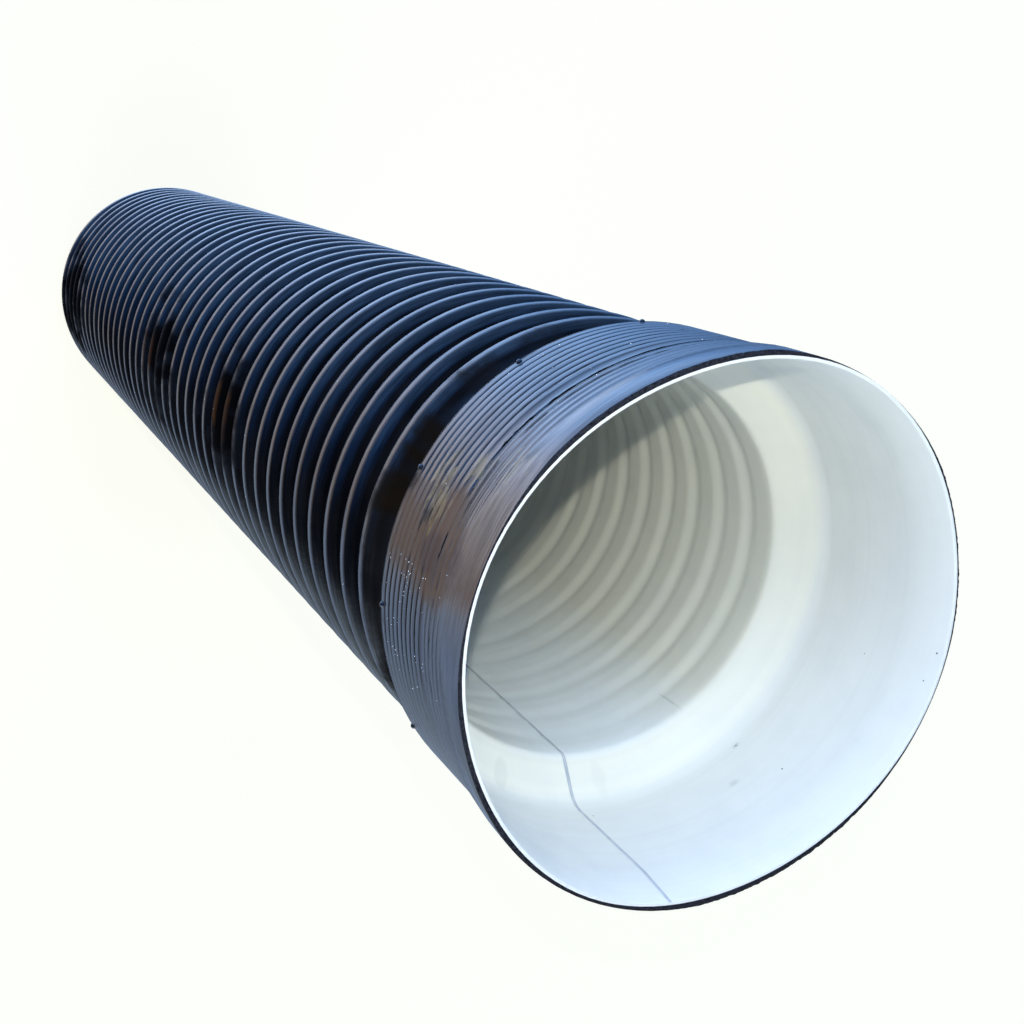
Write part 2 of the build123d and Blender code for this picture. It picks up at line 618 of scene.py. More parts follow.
def nib_tree():
    """Tree that sets round nibs evenly about the pipe's axis, in place of the piece that it runs on."""
    tree, given = new_group(
        "Ring of nibs",
        "GeometryNodeTree",
        {
            "Piece": "Geometry",
            "Count": "Int",
            "Ring radius": "Float",
            "Ring height": "Float",
            "First turn": "Float",
            "Nib radius": "Float",
            "Material": "Material",
        },
        {"Nibs": "Geometry"},
    )
    ring = add(tree, "GeometryNodeMeshCircle", {"Vertices": given["Count"], "Radius": given["Ring radius"]})
    nib = add(tree, "GeometryNodeMeshIcoSphere", {"Radius": given["Nib radius"], "Subdivisions": 3})
    nibs = add(tree, "GeometryNodeInstanceOnPoints", {"Points": ring[0], "Instance": nib[0]})
    real = add(tree, "GeometryNodeRealizeInstances", {"Geometry": nibs[0]})
    # The ring's first point lies on +X, a quarter turn from +Y, and turns count clockwise
    back = add(tree, "ShaderNodeMath", {0: pi / 2, 1: given["First turn"]}, operation="SUBTRACT")
    placed = add(
        tree,
        "GeometryNodeTransform",
        {
            "Geometry": real[0],
            "Translation": add(tree, "ShaderNodeCombineXYZ", {"Z": given["Ring height"]})[0],
            "Rotation": add(tree, "ShaderNodeCombineXYZ", {"Z": back[0]})[0],
        },
    )
    smooth = add(tree, "GeometryNodeSetShadeSmooth", {"Geometry": placed[0]})
    return painted(tree, given, smooth[0], "Nibs")


def grain_tree():
    """Tree that sets a turned, angular grain on every point, as large as the point's size."""
    tree, given = new_group(
        "Grains",
        "GeometryNodeTree",
        {"Places": "Geometry", "Seed": "Int", "Material": "Material"},
        {"Grains": "Geometry"},
    )
    size = add(tree, "GeometryNodeInputNamedAttribute", {"Name": "size"}, data_type="FLOAT")
    grain = add(tree, "GeometryNodeMeshIcoSphere", {"Radius": 1, "Subdivisions": 1})
    angle = add(tree, "FunctionNodeRandomValue", {"Seed": given["Seed"]}, data_type="FLOAT_VECTOR")
    turned = add(tree, "ShaderNodeVectorMath", {0: angle[0], "Scale": 2 * pi}, operation="SCALE")
    grains = add(
        tree,
        "GeometryNodeInstanceOnPoints",
        {
            "Points": given["Places"],
            "Instance": grain[0],
            "Rotation": turned[0],
            "Scale": size["Attribute"],
        },
    )
    real = add(tree, "GeometryNodeRealizeInstances", {"Geometry": grains[0]})
    return painted(tree, given, real[0], "Grains")


def points_of(piece, kind="co"):
    """Places of the piece's points, or their normals, as rows of X, Y and Z."""
    values = np.empty(len(piece.data.vertices) * 3)
    piece.data.vertices.foreach_get(kind, values)
    return values.reshape(-1, 3)


def move_points(piece, points):
    """Moves the piece's points to these places."""
    piece.data.vertices.foreach_set("co", points.ravel())
    piece.data.update()
    return piece


def settle_mouth(piece):
    """Pulls the mouth out of round and the lip uneven, as the pipe's own weight and the saw left them."""
    points = points_of(piece)
    radius = np.hypot(points[:, 0], points[:, 1])
    turn = np.arctan2(points[:, 0], points[:, 1])
    depth = pipe_length - points[:, 2]
    near = eased(np.clip(1 - depth / swell_fade, 0, 1))
    lip_wall = lip_radius - edge_radius
    lip = np.clip((radius - edge_radius) / lip_wall, 0, 1)
    lip *= np.clip(1 - depth / (lip_length + flare_length), 0, 1)
    settled = radius * (1 + near * swelling(turn, mouth_swell))
    settled += lip * (lip_mean + swelling(turn, lip_swell) - lip_wall)
    points[:, :2] *= (np.minimum(settled, lip_limit) / radius)[:, None]
    points[:, 2] = np.clip(points[:, 2], 0, pipe_length)
    return move_points(piece, points)


def fill_groove(piece):
    """Fills most of the socket's deep groove on the left, below the painted gold glints."""
    points = points_of(piece)
    radius = np.hypot(points[:, 0], points[:, 1])
    turn = np.degrees(np.arctan2(points[:, 0], points[:, 1]))
    bottom = np.abs(pipe_length - points[:, 2] - deep_groove) < weld_distance
    bottom &= radius > bell_radius - deep_groove_width
    filled = mud_filled * deep_groove_depth * np.interp(turn, mud_turns, (1, 0))
    points[:, :2] *= (1 + np.where(bottom, filled / radius, 0))[:, None]
    return move_points(piece, points)


def fill_waves(piece):
    """Fills most of the liner's waves along the bottom of the bore."""
    points = points_of(piece)
    normals = points_of(piece, "normal")
    radius = np.hypot(points[:, 0], points[:, 1])
    around = points[:, :2] / radius[:, None]
    inside = (normals[:, :2] * around).sum(1) < facing_axis
    inside &= points[:, 2] < pipe_length - first_ring
    bottom = np.interp(around[:, 1], wave_film, (1, 0))
    filled = radius - wave_filled * bottom * np.maximum(radius - bore_radius, 0)
    points[:, :2] *= np.where(inside, filled / radius, 1)[:, None]
    return move_points(piece, points)


def pipe_place():
    """Shader group that gives a point's place on the pipe, in mm and degrees, and its way out."""
    places = {"Depth": "Float", "Radius": "Float", "Turn": "Float", "Around": "Vector"}
    tree = new_group("Pipe place", "ShaderNodeTree", {}, places)[0]
    place = add(tree, "ShaderNodeTexCoord")["Object"]
    part = add(tree, "ShaderNodeSeparateXYZ", {0: place})
    below = add(tree, "ShaderNodeMath", {0: pipe_length, 1: part["Z"]}, operation="SUBTRACT")
    depth = add(tree, "ShaderNodeMath", {0: below[0], 1: 1 / mm}, operation="MULTIPLY")
    flat = add(tree, "ShaderNodeVectorMath", {0: place, 1: (1, 1, 0)}, operation="MULTIPLY")
    length = add(tree, "ShaderNodeVectorMath", {0: flat[0]}, operation="LENGTH")
    radius = add(tree, "ShaderNodeMath", {0: length["Value"], 1: 1 / mm}, operation="MULTIPLY")
    angle = add(tree, "ShaderNodeMath", {0: part["X"], 1: part["Y"]}, operation="ARCTAN2")
    turn = add(tree, "ShaderNodeMath", {0: angle[0]}, operation="DEGREES")
    around = add(tree, "ShaderNodeVectorMath", {0: flat[0]}, operation="NORMALIZE")
    outputs = {"Depth": depth[0], "Radius": radius[0], "Turn": turn[0], "Around": around[0]}
    add(tree, "NodeGroupOutput", outputs)
    return tree


def ragged_patch_group():
    """Shader group that gives how strongly a ragged patch covers a place on the pipe, for stains and painted
    light alike.
    """
    tree, given = new_group(
        "Ragged patch",
        "ShaderNodeTree",
        {
            "Turn": "Float",
            "Depth": "Float",
            "Ragged": "Float",
            "Middle turn": "Float",
            "Middle depth": "Float",
            "Half turn": "Float",
            "Half depth": "Float",
            "Strength": "Float",
        },
        {"Amount": "Float"},
    )
    shares = []
    for name in ("Turn", "Depth"):
        middle, half = given["Middle " + name.lower()], given["Half " + name.lower()]
        away = add(tree, "ShaderNodeMath", {0: given[name], 1: middle}, operation="SUBTRACT")
        shares.append(add(tree, "ShaderNodeMath", {0: away[0], 1: half}, operation="DIVIDE")[0])
    reach = add(tree, "ShaderNodeCombineXYZ", {"X": shares[0], "Y": shares[1]})
    length = add(tree, "ShaderNodeVectorMath", {0: reach[0]}, operation="LENGTH")
    edge = add(tree, "ShaderNodeMath", {0: length["Value"], 1: given["Ragged"]}, operation="ADD")
    amount = add(
        tree,
        "ShaderNodeMapRange",
        {"Value": edge[0], **limits(1, 0.35, 0, given["Strength"])},
        interpolation_type="SMOOTHSTEP",
    )
    add(tree, "NodeGroupOutput", {"Amount": amount[0]})
    return tree


def new_material(name):
    """New material and its empty node tree."""
    material = bpy.data.materials.new(name)
    material.use_nodes = True
    material.node_tree.nodes.clear()
    return material, material.node_tree


def mottled(tree, vector, lengths, detail):
    """Pattern with patches as long as the lengths in mm along X, Y and Z, centred on 0 and about 1 wide."""
    fineness = [1 / length for length in lengths]
    scaled = add(tree, "ShaderNodeVectorMath", {0: vector, 1: fineness}, operation="MULTIPLY")
    noise = add(tree, "ShaderNodeTexNoise", {"Vector": scaled[0], "Scale": 1, "Detail": detail})
    return add(tree, "ShaderNodeMapRange", {"Value": noise["Fac"], **limits(0.3, 0.7, -0.5, 0.5)})[0]


def varied(tree, pattern, dark, light):
    """Colour that runs from dark to light with the pattern."""
    share = add(tree, "ShaderNodeMapRange", {"Value": pattern, **limits(-0.5, 0.5)})
    colours = {6: linear(dark), 7: linear(light)}
    return add(tree, "ShaderNodeMix", {0: share[0], **colours}, data_type="RGBA")[2]


def unrolled(tree, place):
    """Place drawn on one cylinder, in mm, so that patterns don't shift between crests and valleys."""
    size = socket_radius / mm
    around = add(tree, "ShaderNodeVectorMath", {0: place["Around"], "Scale": size}, operation="SCALE")
    down = add(tree, "ShaderNodeCombineXYZ", {"Z": place["Depth"]})
    return add(tree, "ShaderNodeVectorMath", {0: around[0], 1: down[0]}, operation="ADD")[0]


def overlaid(tree, patch_group, place, ragged, marks, colour, dull, where=1):
    """Colour and dullness with stains and painted light laid over them, as far as where lets them."""
    for tint, strength, dulling, middle_turn, middle_depth, half_turn, half_depth in marks:
        amount = add(
            tree,
            "ShaderNodeGroup",
            {
                "Turn": place["Turn"],
                "Depth": place["Depth"],
                "Ragged": ragged,
                "Middle turn": middle_turn,
                "Middle depth": middle_depth,
                "Half turn": half_turn,
                "Half depth": half_depth,
                "Strength": strength,
            },
            node_tree=patch_group,
        )[0]
        amount = add(tree, "ShaderNodeMath", {0: amount, 1: where}, operation="MULTIPLY")[0]
        colour = add(tree, "ShaderNodeMix", {0: amount, 6: colour, 7: linear(tint)}, data_type="RGBA")[2]
        dulled = add(tree, "ShaderNodeMath", {0: amount, 1: dulling}, operation="MULTIPLY")
        dull = add(tree, "ShaderNodeMath", {0: dull, 1: dulled[0]}, operation="MAXIMUM")[0]
    return colour, dull


def black_polyethylene(place_group, patch_group):
    """Extruded black polyethylene that lay outdoors: satin blue-black, streaked around, with stains, dust,
    painted shade and painted reflections.
    """
    material, tree = new_material("black_polyethylene_satin_weathered_and_painted_light")
    place = add(tree, "ShaderNodeGroup", node_tree=place_group)
    flat = unrolled(tree, place)
    streaks = mottled(tree, flat, (130, 130, 5), 3)
    clouds = mottled(tree, flat, (70, 70, 70), 4)
    grit = mottled(tree, flat, (7, 7, 7), 2)
    rib_mark_noise = mottled(tree, flat, (24, 24, 5), 3)
    ragged = add(tree, "ShaderNodeMath", {0: clouds, 1: 0.9}, operation="MULTIPLY")[0]
    rib_mark_edge = add(tree, "ShaderNodeMath", {0: rib_mark_noise, 1: 2.3}, operation="MULTIPLY")[0]

    # Blue-black, greyer in streaks that follow the extrusion
    colour = varied(tree, streaks, "#030407", "#090b11")
    # A thin grey-brown film of dust in patches
    film = add(tree, "ShaderNodeMapRange", {"Value": clouds, **limits(0, 0.7, 0, 0.02)})[0]
    colour = add(tree, "ShaderNodeMix", {0: film, 6: colour, 7: linear("#6b5f53")}, data_type="RGBA")[2]
    # Stains, painted reflections on the socket and barrel, and painted shade behind the socket
    colour, dull = overlaid(tree, patch_group, place, ragged, black_stains_shade_and_reflections, colour, film)
    # Painted gold glints on the ribs, a dark mark, and painted shade in the grooves
    colour, dull = overlaid(tree, patch_group, place, rib_mark_edge, black_glints_and_groove_shade, colour, dull)
    # Painted reflection: brown glints on the tops of the crests, in two patches on the left of the barrel
    top = add(tree, "ShaderNodeMapRange", {"Value": place["Radius"], **limits(*crest_tops)})
    colour, dull = overlaid(tree, patch_group, place, ragged, painted_crest_reflections, colour, dull, top[0])
    # The saw left the lip's end matt and crumbly, in dark greys
    across = add(
        tree,
        "ShaderNodeVectorMath",
        {0: place["Around"], "Scale": place["Radius"]},
        operation="SCALE",
    )
    crumbly = varied(tree, mottled(tree, across[0], (3.5, 3.5, 3.5), 2), "#111115", "#303138")
    cut = add(tree, "ShaderNodeMapRange", {"Value": place["Depth"], **limits(*lip_cut, 1, 0)})
    colour = add(tree, "ShaderNodeMix", {0: cut[0], 6: colour, 7: crumbly}, data_type="RGBA")[2]
    dull = add(tree, "ShaderNodeMath", {0: dull, 1: cut[0]}, operation="MAXIMUM")[0]

    gloss = add(tree, "ShaderNodeMapRange", {"Value": streaks, **limits(-0.5, 0.5, 0.13, 0.24)})
    worn = limits(0, 1, gloss[0], dull_roughness)
    roughness = add(tree, "ShaderNodeMapRange", {"Value": dull, **worn})
    # The socket was heated and formed once more, and shines more than the barrel
    socket_shine = limits(*socket_finish, 0.76, 0.44)
    formed = add(tree, "ShaderNodeMapRange", {"Value": place["Depth"], **socket_shine})
    # The flare was pressed against the mould and shines most
    flare_shine = limits(*flare_finish, 0.25, 0)
    flared = add(tree, "ShaderNodeMapRange", {"Value": place["Depth"], **flare_shine})
    pressed = add(tree, "ShaderNodeMath", {0: formed[0], 1: flared[0]}, operation="ADD")
    ring_change = add(
        tree,
        "ShaderNodeMath",
        {0: mottled(tree, flat, (700, 700, 60), 1), 1: 0.22, 2: pressed[0]},
        operation="MULTIPLY_ADD",
    )
    # Fine scratches around the pipe break up the shine
    scratched = add(
        tree,
        "ShaderNodeMath",
        {0: mottled(tree, flat, (50, 50, 2.4), 2), 1: 0.85, 2: 1},
        operation="MULTIPLY_ADD",
    )
    polish = add(tree, "ShaderNodeMath", {0: ring_change[0], 1: scratched[0]}, operation="MULTIPLY")
    shine = add(tree, "ShaderNodeMapRange", {"Value": dull, **limits(0, 1, polish[0], 0.05)})
    lines = add(tree, "ShaderNodeMath", {0: grit, 1: 0.5, 2: streaks}, operation="MULTIPLY_ADD")
    bump = add(tree, "ShaderNodeBump", {"Strength": 0.35, "Distance": 0.25 * mm, "Height": lines[0]})
    shader = add(
        tree,
        "ShaderNodeBsdfPrincipled",
        {
            "Base Color": colour,
            "Roughness": roughness[0],
            "Specular IOR Level": shine[0],
            "IOR": 1.5,
            "Normal": bump[0],
        },
    )
    add(tree, "ShaderNodeOutputMaterial", {"Surface": shader[0]})
    return material


def white_polyethylene(place_group, patch_group):
    """Extruded white polyethylene, satin, tinted with painted light: cold white in the socket, cream on the
    cone, olive in the bore.
    """
    material, tree = new_material("white_polyethylene_satin")
    place = add(tree, "ShaderNodeGroup", node_tree=place_group)
    flat = unrolled(tree, place)
    rings = mottled(tree, flat, (900, 900, 9), 2)
    clouds = mottled(tree, flat, (55, 55, 55), 3)
    grit = mottled(tree, flat, (6, 6, 6), 2)
    ragged = add(tree, "ShaderNodeMath", {0: clouds, 1: 0.9}, operation="MULTIPLY")[0]

    # Painted light: the tint goes from cold white in the socket over cream on the cone to warmer in the
    # bore, as the light there does
    cone = add(tree, "ShaderNodeMapRange", {"Value": place["Depth"], **limits(*liner_cone)})
    bore = add(tree, "ShaderNodeMapRange", {"Value": place["Depth"], **limits(*liner_bore)})
    colour = add(
        tree,
        "ShaderNodeMix",
        {0: cone[0], 6: linear("#e4e6e2"), 7: linear("#e6e6da")},
        data_type="RGBA",
    )[2]
    colour = add(tree, "ShaderNodeMix", {0: bore[0], 6: colour, 7: linear("#e2e1d5")}, data_type="RGBA")[2]
    # The black wall shows through a little where the liner is bonded to it, between the waves
    past = add(tree, "ShaderNodeMath", {0: place["Depth"], 1: first_crest / mm}, operation="SUBTRACT")
    away = add(tree, "ShaderNodeMath", {0: past[0], 1: half_pitch / mm}, operation="PINGPONG")
    bonded = add(tree, "ShaderNodeMapRange", {"Value": away[0], **limits(*bonded_rings, 0, 0.36)})
    bonded = add(tree, "ShaderNodeMath", {0: bonded[0], 1: bore[0]}, operation="MULTIPLY")
    colour = add(tree, "ShaderNodeMix", {0: bonded[0], 6: colour, 7: linear("#c8c6bb")}, data_type="RGBA")[2]
    # Painted sky light: the bottom of the bore, lit by the sky, is tinted cold and pale
    bottom = add(tree, "ShaderNodeSeparateXYZ", {0: place["Around"]})
    sky_tinted = add(tree, "ShaderNodeMapRange", {"Value": bottom["Y"], **limits(*bore_sky_tint, 1, 0)})
    sky_tinted = add(tree, "ShaderNodeMath", {0: sky_tinted[0], 1: bore[0]}, operation="MULTIPLY")
    colour = add(tree, "ShaderNodeMix", {0: sky_tinted[0], 6: colour, 7: linear("#e8eff1")}, data_type="RGBA")[2]
    # Faint rings from the extruder, and a faint bloom in patches
    for pattern, tint, most in ((rings, "#c3c5be", 0.1), (clouds, "#c9cdcb", 0.16)):
        share = add(tree, "ShaderNodeMapRange", {"Value": pattern, **limits(-0.2, 0.6, 0, most)})
        colour = add(tree, "ShaderNodeMix", {0: share[0], 6: colour, 7: linear(tint)}, data_type="RGBA")[2]
    colour, dull = overlaid(tree, patch_group, place, ragged, white_stains, colour, 0)

    gloss = add(tree, "ShaderNodeMapRange", {"Value": clouds, **limits(-0.5, 0.5, 0.34, 0.48)})
    worn = limits(0, 1, gloss[0], dull_roughness)
    roughness = add(tree, "ShaderNodeMapRange", {"Value": dull, **worn})
    lines = add(tree, "ShaderNodeMath", {0: grit, 1: 0.3, 2: rings}, operation="MULTIPLY_ADD")
    bump = add(tree, "ShaderNodeBump", {"Strength": 0.15, "Distance": 0.1 * mm, "Height": lines[0]})
    shader = add(
        tree,
        "ShaderNodeBsdfPrincipled",
        {"Base Color": colour, "Roughness": roughness[0], "IOR": 1.5, "Normal": bump[0]},
    )
    add(tree, "ShaderNodeOutputMaterial", {"Surface": shader[0]})
    return material


def dry_matt(name, place_group, dark, light, feature):
    """Dry matt stuff that varies between two colours, in features of so many mm."""
    material, tree = new_material(name)
    place = add(tree, "ShaderNodeGroup", node_tree=place_group)
    pattern = mottled(tree, unrolled(tree, place), (feature, feature, feature), 2)
    colour = varied(tree, pattern, dark, light)
    shader = add(tree, "ShaderNodeBsdfPrincipled", {"Base Color": colour, "Roughness": 0.6})
    add(tree, "ShaderNodeOutputMaterial", {"Surface": shader[0]})
    return material


def belongs(piece, slot, *nodes):
    """The piece rides on the root body and hides the nodes' parts. The slot is not used."""
    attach(piece, "root")
    if nodes:
        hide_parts(*nodes)


def white_grains():
    """Grains of lime on the socket's lower left and a few on the crests, as (turn, depth, radius, size)."""
    draw = np.random.RandomState(11)
    depths, radii = zip(*bell_line())
    # Single grains, a cluster, a scatter on the lower left and a few above, by turn and depth in mm
    places = [(-78, 181), (-75, 131), (-57, 164), (-71, 69), (-32, 96)]
    places += [(draw.normal(-76, 2.5), draw.normal(178, 16)) for grain in range(16)]
    places += [(draw.normal(-86, 8), draw.uniform(60, 240)) for grain in range(34)]
    places += [(draw.uniform(-60, 10), draw.uniform(60, 240)) for grain in range(16)]
    grains = [
        (turn, depth * mm, np.interp(depth * mm, depths, radii), draw.uniform(0.3, 0.75) * mm)
        for turn, depth in places
    ]
    # Grains on the tops of the crests
    for grain in range(46):
        crest = first_crest + draw.randint(corrugations) * pitch + draw.uniform(-3, 3) * mm
        grains.append((draw.uniform(-115, 20), crest, crest_radius, draw.uniform(0.4, 0.9) * mm))
    return grains


# Stains and painted light on the black wall: colour, strength, dullness, turn, depth in mm, and how far they
# reach each way
black_stains_shade_and_reflections = (
    # Painted reflection: a brown band down the left of the socket, where the brown horizon is mirrored
    ("#5a4430", 0.95, 0.72, -69, 150, 12, 190),
    ("#33201a", 0.7, 0.6, -68, 60, 6, 24),
    ("#3c2c25", 0.6, 0.6, -70, 130, 6, 50),
    # Painted reflections: dark, dull patches along the left of the barrel, where dark surroundings are
    # mirrored
    ("#060403", 1.0, 1.0, -78, 1075, 26, 150),
    ("#060403", 1.0, 1.0, -77, 1610, 26, 200),
    ("#030303", 1.0, 1.0, -84, 2800, 34, 300),
    # Painted shade: dark in the valley between the back of the socket and the first crest
    ("#120d07", 0.97, 0.98, -70, 300, 78, 62),
)
# Marks that follow the ribs: painted gold glints, a dark mark, and painted shade in the grooves
black_glints_and_groove_shade = (
    # Painted highlights: gold glints on the lands of the ribs
    ("#a08a4e", 0.26, 0.35, -60, 161, 5, 24),
    ("#a08a4e", 0.28, 0.35, -51, 117, 4, 16),
    ("#978352", 0.3, 0.3, -55, 190, 4, 18),
    ("#97875c", 0.28, 0.3, -47, 49, 4, 24),
    ("#0b0908", 0.8, 0.8, -64, 172, 2.5, 10),
    # Painted shade in the deep groove
    ("#020203", 0.95, 0.95, -6, 106, 52, 3),
    # Painted shade in a soft groove and two of the fine grooves
    ("#040506", 0.7, 0.8, -20, 90, 60, 2.5),
    ("#040506", 0.6, 0.8, -30, 137, 60, 2.5),
    ("#040506", 0.6, 0.8, -40, 178, 50, 2.5),
)
# Painted reflection: brown glints on the tops of the crests
painted_crest_reflections = (
    ("#57300f", 0.55, 0.4, -77, 1085, 9, 110),
    ("#4d2a10", 0.6, 0.4, -79, 1690, 10, 110),
)
# Scuffs and a scratch on the liner
white_stains = (
    ("#a9aca8", 0.16, 0.4, -147, 258, 2.2, 24),
    ("#b3b6b1", 0.15, 0.4, -177, 262, 2.6, 24),
    ("#aab0b2", 0.4, 0.3, 155, 164, 2.5, 9),
    ("#9fa5a6", 0.5, 0.3, 147, 219, 1.4, 5),
    ("#a9ada5", 0.4, 0.2, 151, 335, 0.5, 40),
)
# Grains of dirt on the liner: turn, depth in mm and size in mm
dirt_places = (
    (111, 121, 0.9),
    (103, 7, 1.1),
    (110, 14, 1.0),
    (145, 127, 1.2),
    (147, 219, 1.0),
    (-170, 208, 0.9),
)

# Pieces
place_group = pipe_place()
patch_group = ragged_patch_group()
black = black_polyethylene(place_group, patch_group)
white = white_polyethylene(place_group, patch_group)
uneven_wall = uneven_group()
corrugated_wall = wall_tree(uneven_wall)
bead = bead_tree(uneven_wall)
grains = grain_tree()
wall_sizes = {
    "Segments": segments,
    "Turning radius": bond_radius,
    "Corrugations": corrugations,
    "Pitch": pitch,
    "First crest": first_crest,
    "Mouth height": pipe_length,
    "Weld distance": weld_distance,
    **evenness,
}
black_wall = outline_piece("black_corrugated_wall", black_wall_outlines())
fill_groove(settle_mouth(grown(black_wall, corrugated_wall, {**wall_sizes, "Material": black})))
belongs(black_wall, "black_polyethylene", "outer_wall")

white_liner = outline_piece("white_liner", liner_outlines())
fill_waves(settle_mouth(grown(white_liner, corrugated_wall, {**wall_sizes, "Material": white})))
belongs(white_liner, "white_polyethylene", "inner_liner")

seam = path_piece("liner_seam", [seam_path()])
seam_grey = dry_matt("grey_weld_seam_matt", place_group, "#a6adb4", "#bbc1c7", 14)
seam_sizes = {
    "Bead radius": seam_radius,
    "Bead sides": seam_sides,
    "Reach": 0.0,
    "Reach width": burr_width,
    "Swelling": 0.0,
}
settle_mouth(grown(seam, bead, {**seam_sizes, **evenness, "Material": seam_grey}))
belongs(seam, "white_polyethylene")

circle = [2 * pi * point / burr_points for point in range(burr_points)] + [0]
burr = path_piece(
    "lip_burr",
    [[on_pipe(turn, depth, radius) for turn in circle] for depth, radius in burr_rings],
)
burr_sizes = {
    "Bead radius": burr_radius,
    "Bead sides": burr_sides,
    "Reach": burr_reach,
    "Reach width": burr_width,
    "Swelling": burr_swelling,
}
settle_mouth(grown(burr, bead, {**burr_sizes, **evenness, "Material": black}))
belongs(burr, "black_polyethylene")

nibs = mesh_piece("moulding_nibs", [(0, 0, 0)])
nib_sizes = {
    "Count": nib_count,
    "Ring radius": bell_radius - nib_sink,
    "Ring height": pipe_length - nib_depth,
    "First turn": nib_turn,
    "Nib radius": nib_radius,
}
settle_mouth(grown(nibs, nib_tree(), {**nib_sizes, "Material": black}))
belongs(nibs, "black_polyethylene")

lime = grain_piece("lime_grains", white_grains())
lime_white = dry_matt("lime_grains_matt", place_group, "#c9cfd4", "#f2f4f2", 3)
settle_mouth(grown(lime, grains, {"Seed": 5, "Material": lime_white}))
belongs(lime, "white_polyethylene")

dirt = grain_piece(
    "dirt_grains",
    [(turn, depth * mm, socket_radius, size * mm) for turn, depth, size in dirt_places],
)
dirt_grey = dry_matt("dirt_grains_matt", place_group, "#3c4044", "#5c6266", 3)
settle_mouth(grown(dirt, grains, {"Seed": 6, "Material": dirt_grey}))
belongs(dirt, "white_polyethylene")

# Floor
floor_half = 30
floor = mesh_piece(
    "floor",
    [(x * floor_half, y * floor_half, 0) for x, y in ((-1, -1), (1, -1), (1, 1), (-1, 1))],
    faces=[(0, 1, 2, 3)],
)
floor_paint, tree = new_material("pale_matt_floor")
floor_shader = add(
    tree,
    "ShaderNodeBsdfPrincipled",
    {
        "Base Color": linear("#8d8a84"),
        "Roughness": 0.9,
        "Emission Color": linear("#fdfcee"),
        "Emission Strength": 0.9,
    },
)
add(tree, "ShaderNodeOutputMaterial", {"Surface": floor_shader[0]})
floor.data.materials.append(floor_paint)
floor.visible_glossy = False
floor.visible_diffuse = False
floor.visible_shadow = False

# Light: a small key just above the viewer, a broad lamp on the +Y side, a weak fill ahead of the mouth,
# and a soft dome that is blue and bright towards +Y. The plastic mirrors only the dome. A lamp has its
# name, its place from the middle of the mouth, size, energy and colour.
mouth_middle = Vector((0, 0, pipe_length))
lamps = (
    ("key", (-0.831, 0.731, 1.189), 25 * mm, 22.5, "#fffdec"),
    ("broad", (-0.15, 2.3, 1.45), 1.5, 30, "#e4edea"),
    ("fill", (0.25, -0.25, 0.9), 0.6, 1.2, "#fff4ea"),
)
for name, from_mouth, size, energy, colour in lamps:
    lamp = bpy.data.lights.new(name, "AREA")
    lamp.shape = "DISK"
    lamp.size = size
    lamp.energy = energy
    lamp.color = linear(colour)[:3]
    holder = bpy.data.objects.new(name, lamp)
    holder.location = mouth_middle + Vector(from_mouth)
    holder.rotation_euler = Vector(from_mouth).to_track_quat("Z", "Y").to_euler()
    holder.visible_glossy = False
    holder.visible_camera = False
    bpy.context.scene.collection.objects.link(holder)

dome = bpy.data.worlds.new("soft_dome")
bpy.context.scene.world = dome
dome.use_nodes = True
tree = dome.node_tree
tree.nodes.clear()
toward = add(tree, "ShaderNodeTexCoord")["Generated"]
part = add(tree, "ShaderNodeSeparateXYZ", {0: toward})
turn = add(tree, "ShaderNodeMath", {0: part["X"], 1: part["Y"]}, operation="ARCTAN2")
around = add(tree, "ShaderNodeMapRange", {"Value": turn[0], **limits(-pi, pi)})
height = add(tree, "ShaderNodeMapRange", {"Value": part["Y"], **limits(-1, 1)})
# Bands of light around the socket, from -Y over -X, +Y and +X: ground, brownish horizon, pale haze, blue
# and shade
bands_socket = (
    (0.0, "#434d57"),
    (0.15, "#65738c"),
    (0.205, "#788192"),
    (0.213, "#837d7c"),
    (0.26, "#8a7f7c"),
    (0.30, "#999394"),
    (0.345, "#aaa7af"),
    (0.42, "#bac5e3"),
    (0.50, "#98bcf1"),
    (0.60, "#84a9dc"),
    (0.66, "#5b7ca9"),
    (0.70, "#47628a"),
    (0.73, "#3a5375"),
    (1.0, "#4c5563"),
)
# Along the barrel they are paler and greyer
bands_barrel = (
    (0.0, "#434d57"),
    (0.15, "#68727f"),
    (0.205, "#7c8490"),
    (0.213, "#868487"),
    (0.26, "#908f96"),
    (0.30, "#9fa3af"),
    (0.345, "#abadb9"),
    (0.42, "#bac5e2"),
    (0.50, "#a3bee9"),
    (0.60, "#98b1d7"),
    (0.66, "#8093b1"),
    (0.70, "#77849b"),
    (0.73, "#727c8e"),
    (1.0, "#4c5563"),
)
# Ahead of the mouth, from -Y to +Y: pale ground, dark horizon, then blue
bands_ahead = (
    (0.0, "#d0e4f6"),
    (0.20, "#9aa8b6"),
    (0.28, "#33363b"),
    (0.38, "#262626"),
    (0.49, "#20252e"),
    (0.60, "#28477a"),
    (0.68, "#315f9f"),
    (0.80, "#5b8ed4"),
    (1.0, "#6a9add"),
)
# Where the dome's light changes, by the Z of its direction, or around from -Y as the bands are
far_end = (-0.985, -0.93)
barrel_side = (-0.925, -0.895)
mouth_side = (-0.85, -0.4)
left_side = (0.47, 0.59)
around_strength = 4.4
far_dimming = 0.93
ahead_strength = (2.9, 1.7)   # on the left and on the right
# To the left, light that comes in along the pipe's far end is dimmer
far = add(tree, "ShaderNodeMapRange", {"Value": part["Z"], **limits(*far_end, far_dimming, 0)})
left = add(tree, "ShaderNodeMapRange", {"Value": around[0], **limits(*left_side, -around_strength, 0)})
along = add(
    tree,
    "ShaderNodeMath",
    {0: far[0], 1: left[0], 2: around_strength},
    operation="MULTIPLY_ADD",
)
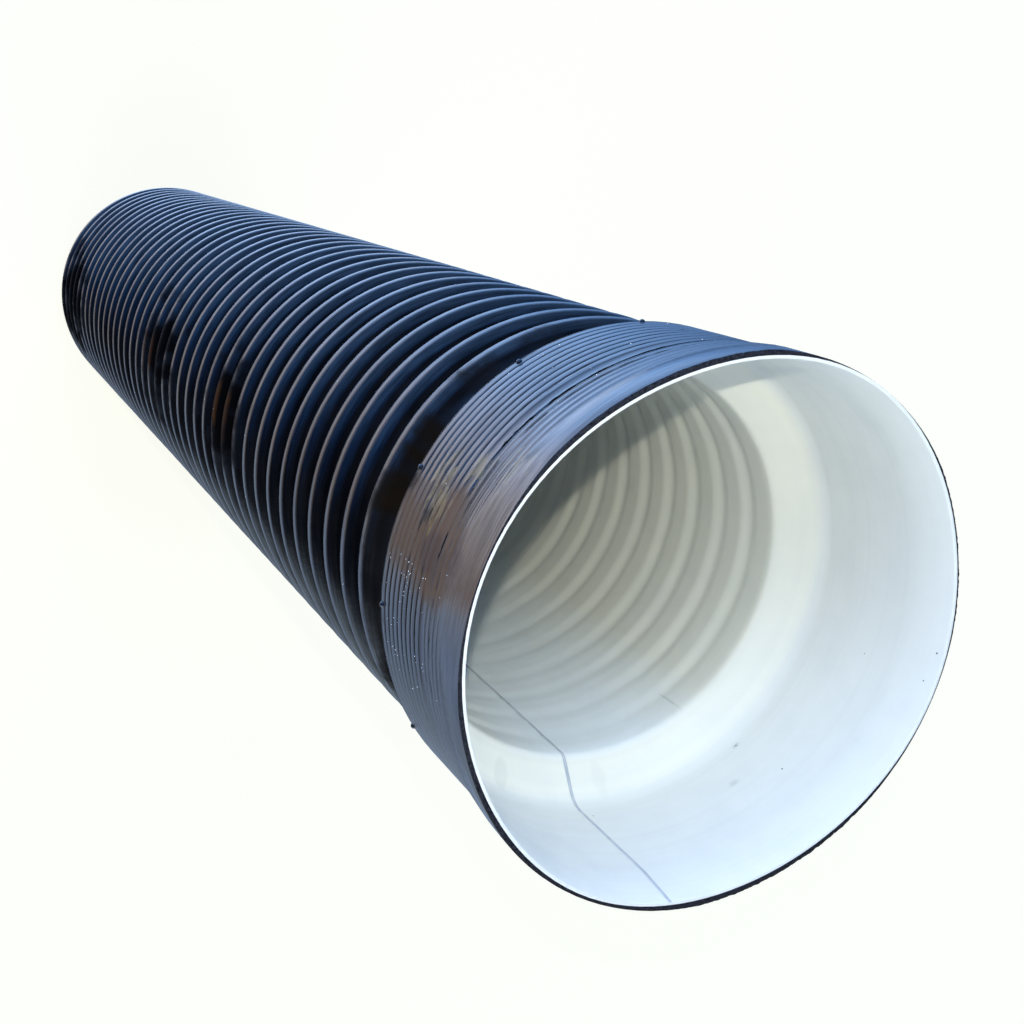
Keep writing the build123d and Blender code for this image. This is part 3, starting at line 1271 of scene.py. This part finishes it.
# The light ahead is brighter on the left
side = add(tree, "ShaderNodeMapRange", {"Value": part["X"], **limits(-0.7, 0.7, *ahead_strength)})
colours = []
for bands, value in ((bands_socket, around[0]), (bands_barrel, around[0]), (bands_ahead, height[0])):
    shade = add(tree, "ShaderNodeValToRGB", {"Fac": value})
    ramp = shade[0].node.color_ramp
    while len(ramp.elements) < len(bands):
        ramp.elements.new(0.5)
    for element, (position, colour) in zip(ramp.elements, bands):
        element.position = position
        element.color = linear(colour)
    colours.append(shade[0])
barrel = add(tree, "ShaderNodeMapRange", {"Value": part["Z"], **limits(*barrel_side, 1, 0)})
around_colour = add(
    tree,
    "ShaderNodeMix",
    {0: barrel[0], 6: colours[0], 7: colours[1]},
    data_type="RGBA",
)[2]
around_light = add(tree, "ShaderNodeBackground", {"Color": around_colour, "Strength": along[0]})
ahead_light = add(tree, "ShaderNodeBackground", {"Color": colours[2], "Strength": side[0]})
ahead = add(tree, "ShaderNodeMapRange", {"Value": part["Z"], **limits(*mouth_side)})
light = add(tree, "ShaderNodeMixShader", {0: ahead[0], 1: around_light[0], 2: ahead_light[0]})
# The camera sees a plain pale backdrop past the floor
backdrop = add(tree, "ShaderNodeBackground", {"Color": linear("#fbfcf8"), "Strength": 1.0})
seen = add(tree, "ShaderNodeLightPath")["Is Camera Ray"]
mixed = add(tree, "ShaderNodeMixShader", {0: seen, 1: light[0], 2: backdrop[0]})
add(tree, "ShaderNodeOutputWorld", {"Surface": mixed[0]})
bpy.context.scene.view_settings.view_transform = "Standard"

# Camera, placed from the middle of the mouth, with its lens and sensor in mm
camera_lens = 47.43
camera_sensor = 36
camera_from_mouth = Vector((-0.8191, 0.5911, 1.1521))
camera_right = Vector((0.90301, 0, 0.42963))
camera_up = Vector((0.12859, 0.95415, -0.27028))
view = bpy.data.cameras.new("camera")
view.lens = camera_lens
view.sensor_width = camera_sensor
camera = bpy.data.objects.new("camera", view)
axes = Matrix((camera_right, camera_up, camera_right.cross(camera_up))).transposed()
camera.matrix_world = Matrix.Translation(mouth_middle + camera_from_mouth) @ axes.to_4x4()
bpy.context.scene.collection.objects.link(camera)
bpy.context.scene.camera = camera
